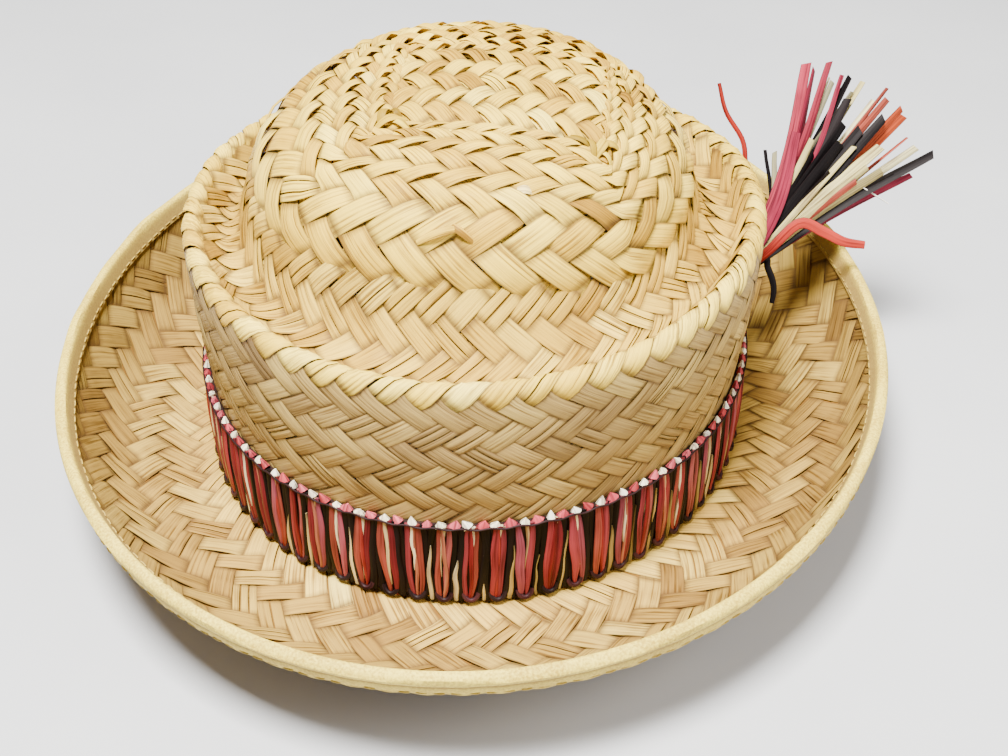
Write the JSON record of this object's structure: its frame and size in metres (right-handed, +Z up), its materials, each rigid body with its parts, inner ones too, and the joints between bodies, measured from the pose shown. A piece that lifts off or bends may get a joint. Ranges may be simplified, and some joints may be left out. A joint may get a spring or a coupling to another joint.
{
  "type": "pork pie hat",
  "caption": "Woven palm-straw hat with a ridged telescope crown, turned-up brim with bound rim, raffia band and a raffia tassel at one side; worn on the head.",
  "frame": {"origin": "middle of the head opening, on the plane that the brim rests on", "axes": "+Z up through the crown, -Y to the front of the hat, +X to the wearer's left"},
  "size_m": [0.2897, 0.3251, 0.121],
  "materials": {
    "palm_straw": "satin woven palm strip",
    "rim_tape": "matt folded cotton tape",
    "raffia_band": "satin raffia, coral, black and cream",
    "raffia_tassel": "satin raffia, pink, coral, black and cream"
  },
  "bodies": {
    "root": {"crown": "palm_straw", "brim": "palm_straw", "brim_binding": "rim_tape", "hat_band": "raffia_band", "tassel": "raffia_tassel"}
  },
  "joints": []
}
